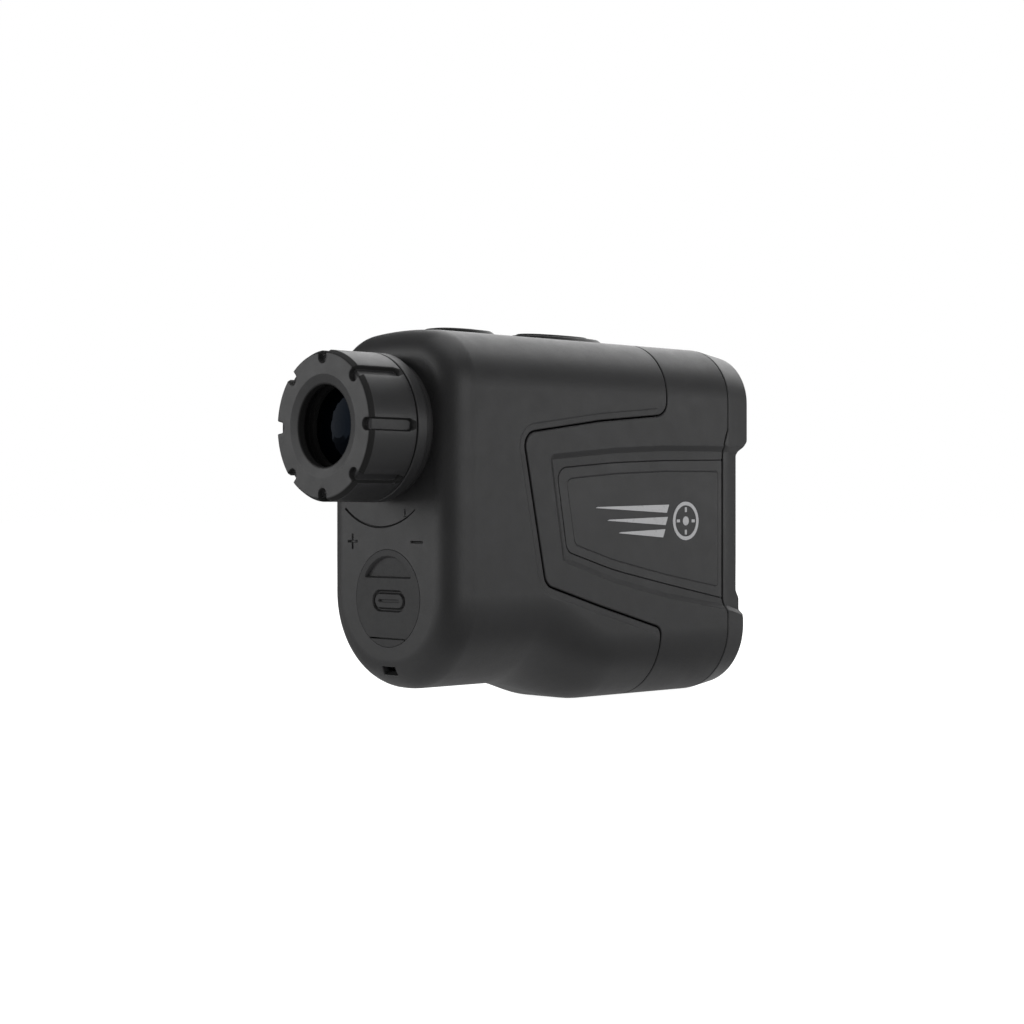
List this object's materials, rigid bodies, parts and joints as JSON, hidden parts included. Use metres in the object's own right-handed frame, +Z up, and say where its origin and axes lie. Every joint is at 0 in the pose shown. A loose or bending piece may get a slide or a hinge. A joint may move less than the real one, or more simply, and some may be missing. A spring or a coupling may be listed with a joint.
{
  "type": "handheld laser speed meter",
  "caption": "Compact black handheld laser speed and range meter with a twist-focus eyepiece, top buttons, covered charging port and recessed side panels.",
  "frame": {"origin": "middle of the width and of the length, on the plane of the base", "axes": "+Z up, +Y towards the target along the optical axis, +X to the user's right"},
  "size_m": [0.0394, 0.105, 0.0768],
  "materials": {
    "housing_plastic": "fine satin moulded texture",
    "bezel_plastic": "satin, slightly smoother than the housings",
    "plate_plastic": "satin with a fine engraved line and a printed silver emblem",
    "eyepiece_plastic": "satin turned finish",
    "button_plastic": "soft satin",
    "port_rubber": "matte moulded rubber",
    "seal_rubber": "matte",
    "inner_plastic": "flat black",
    "black_aluminium": "black anodised, flat",
    "plain_aluminium": "turned",
    "coated_glass": "anti-reflection coated",
    "prism_glass": "polished",
    "circuit_board": "green solder mask",
    "chip_plastic": "moulded epoxy",
    "battery_foil": "foil pouch",
    "wire_plastic": "PVC insulation",
    "sensor_brass": "gold plated",
    "bright_steel": "plain"
  },
  "bodies": {
    "chassis": {"rear_housing": "housing_plastic", "front_housing": "housing_plastic", "front_bezel": "bezel_plastic", "right_side_plate": "plate_plastic", "left_side_plate": "plate_plastic", "port_cover_anchor": "port_rubber", "eyepiece_collar": "eyepiece_plastic", "collar_seal": "seal_rubber", "collar_nut": "plain_aluminium", "objective_barrel": "black_aluminium", "objective_lens": "coated_glass", "objective_retaining_ring": "black_aluminium", "objective_gasket": "seal_rubber", "prism_cage": "inner_plastic", "half_prism": "prism_glass", "roof_prism": "prism_glass", "display_panel": "prism_glass", "display_frame": "inner_plastic", "laser_barrel": "plain_aluminium", "laser_lens": "coated_glass", "laser_retaining_ring": "black_aluminium", "laser_diode": "sensor_brass", "laser_board": "circuit_board", "receiver_sensor": "sensor_brass", "receiver_board": "circuit_board", "receiver_shield": "bright_steel", "main_board": "circuit_board", "board_components": "chip_plastic", "battery": "battery_foil", "battery_tray": "inner_plastic", "battery_pad": "seal_rubber", "battery_leads": "wire_plastic", "power_button_rim": "button_plastic", "mode_button_rim": "button_plastic", "button_board": "circuit_board", "button_switches": "bright_steel", "usb_socket": "bright_steel", "usb_board": "circuit_board", "lanyard_pin": "bright_steel", "housing_screws": "bright_steel", "board_screws": "bright_steel"},
    "diopter": {"diopter_ring": "eyepiece_plastic"},
    "ocular": {"ocular_cell": "black_aluminium", "eye_lens": "coated_glass", "field_lens": "coated_glass", "ocular_retaining_ring": "inner_plastic", "ocular_spacer": "inner_plastic", "field_retaining_ring": "inner_plastic", "focus_pin": "sensor_brass"},
    "power_key": {"power_button": "button_plastic"},
    "mode_key": {"mode_button": "button_plastic"},
    "port_flap": {"port_cover": "port_rubber"}
  },
  "joints": [
    {"name": "diopter_turn", "type": "hinge", "parent": "chassis", "child": "diopter", "pos_m": [0, -0.0465, 0.0559], "axis": [0, 1, 0], "range_deg": [-120, 120]},
    {"name": "ocular_slide", "type": "slide", "parent": "chassis", "child": "ocular", "axis": [0, 1, 0], "range_m": [-0.0015, 0.0015]},
    {"name": "power_button_press", "type": "slide", "parent": "chassis", "child": "power_key", "axis": [0, 0, -1], "range_m": [0, 0.0006], "stiffness_N_per_m": 2500, "springref_m": -0.0003},
    {"name": "mode_button_press", "type": "slide", "parent": "chassis", "child": "mode_key", "axis": [0, 0, -1], "range_m": [0, 0.0006], "stiffness_N_per_m": 2500, "springref_m": -0.0003},
    {"name": "port_cover_open", "type": "hinge", "parent": "chassis", "child": "port_flap", "pos_m": [0, -0.0362, 0.0144], "axis": [1, 0, 0], "range_deg": [0, 110], "stiffness_Nm_per_rad": 0.0006, "springref_deg": -5.73}
  ],
  "couplings": [
    {"joint": "diopter_turn", "follows": "ocular_slide", "rad_per_m": 1396}
  ]
}
